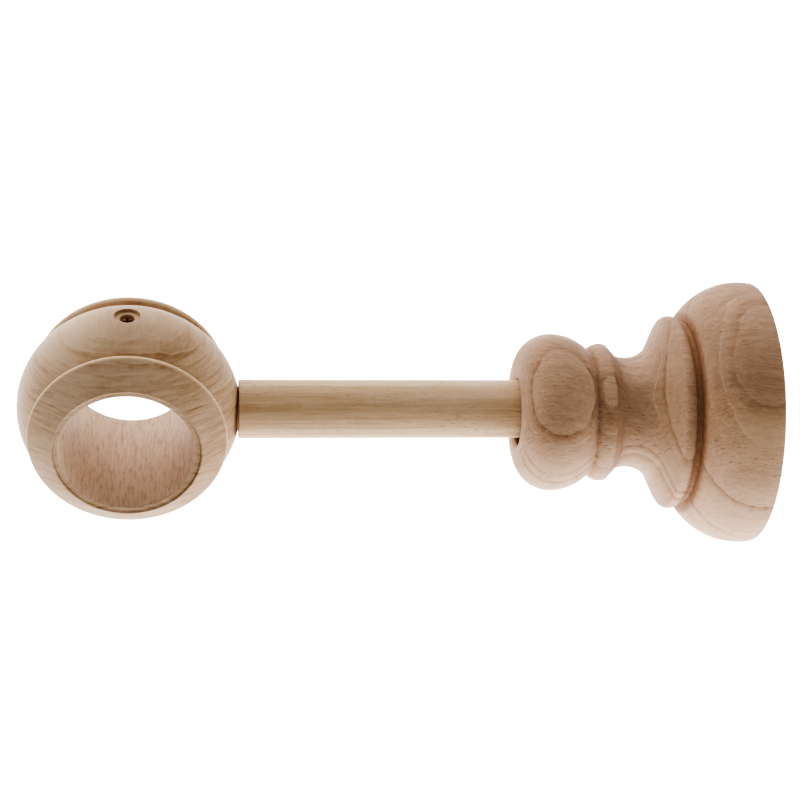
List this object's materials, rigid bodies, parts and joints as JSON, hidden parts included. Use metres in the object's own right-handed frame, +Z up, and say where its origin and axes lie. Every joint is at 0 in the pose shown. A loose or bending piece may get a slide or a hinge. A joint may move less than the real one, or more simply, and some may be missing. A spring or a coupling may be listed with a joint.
{
  "type": "curtain pole bracket",
  "caption": "Turned beech wall bracket for a wooden curtain pole: a ring on a dowel arm carries the pole, and the arm slides in a turned rosette that screws to the wall.",
  "frame": {"origin": "centre of the rosette's wall face, at the mouth of the threaded insert", "axes": "+Z up, +Y into the wall along the rosette's axis, so the arm points along -Y; the pole runs through the ring along X"},
  "size_m": [0.0636, 0.1762, 0.0636],
  "materials": {
    "turned_beech": "raw sanded beech, matt",
    "dowel_beech": "raw straight-grained beech, matt",
    "browned_steel": "browned steel, satin",
    "zinc_plated_steel": "zinc-plated steel, satin"
  },
  "bodies": {
    "rosette": {"rosette": "turned_beech", "threaded_insert": "zinc_plated_steel"},
    "arm": {"arm_dowel": "dowel_beech", "pole_ring": "turned_beech"},
    "pole_screw": {"pole_screw": "browned_steel"},
    "arm_screw": {"arm_screw": "browned_steel"}
  },
  "joints": [
    {"name": "arm_slide", "type": "slide", "parent": "rosette", "child": "arm", "axis": [0, 1, 0], "range_m": [-0.01, 0.0115]},
    {"name": "pole_screw_travel", "type": "slide", "parent": "arm", "child": "pole_screw", "axis": [0, 0, -1], "range_m": [0, 0.003]},
    {"name": "arm_screw_travel", "type": "slide", "parent": "rosette", "child": "arm_screw", "axis": [0, 0, -1], "range_m": [0, 0.004]}
  ]
}
